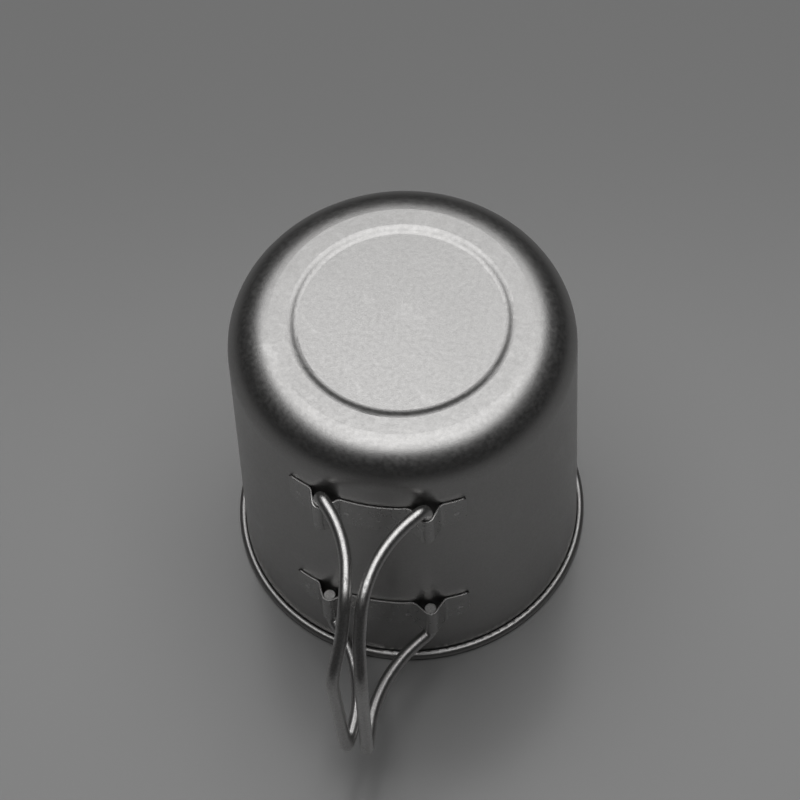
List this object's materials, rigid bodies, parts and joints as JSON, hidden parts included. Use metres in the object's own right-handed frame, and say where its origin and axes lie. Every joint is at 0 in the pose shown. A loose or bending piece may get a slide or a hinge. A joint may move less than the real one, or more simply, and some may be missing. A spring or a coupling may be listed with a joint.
{
  "type": "camping pot",
  "caption": "Single-wall titanium camping pot, mouth down on its rolled rim, with a folding pair of bent wire handles hinged in two wall brackets.",
  "frame": {"origin": "centre of the mouth, on the plane the rolled rim stands on", "axes": "+Z from the mouth to the base, so the pot stands upside down on its rim; -Y towards the handles; +X to the right when facing them"},
  "size_m": [0.099, 0.1421, 0.1006],
  "materials": {
    "blasted_titanium": "bead-blasted matte titanium",
    "bracket_titanium": "bead-blasted matte titanium strip",
    "weld_titanium": "pressed spot weld",
    "wire_titanium": "satin drawn titanium wire"
  },
  "bodies": {
    "pot": {"pot_body": "blasted_titanium", "upper_bracket": "bracket_titanium", "lower_bracket": "bracket_titanium", "upper_bracket_welds": "weld_titanium", "lower_bracket_welds": "weld_titanium"},
    "left_loop": {"left_handle": "wire_titanium"},
    "right_loop": {"right_handle": "wire_titanium"}
  },
  "joints": [
    {"name": "left_handle_hinge", "type": "hinge", "parent": "pot", "child": "left_loop", "pos_m": [-0.01403, -0.04737, 0.05], "axis": [0, 0, -1], "range_deg": [0, 140]},
    {"name": "right_handle_hinge", "type": "hinge", "parent": "pot", "child": "right_loop", "pos_m": [0.01403, -0.04737, 0.05], "axis": [0, 0, 1], "range_deg": [0, 140]}
  ]
}
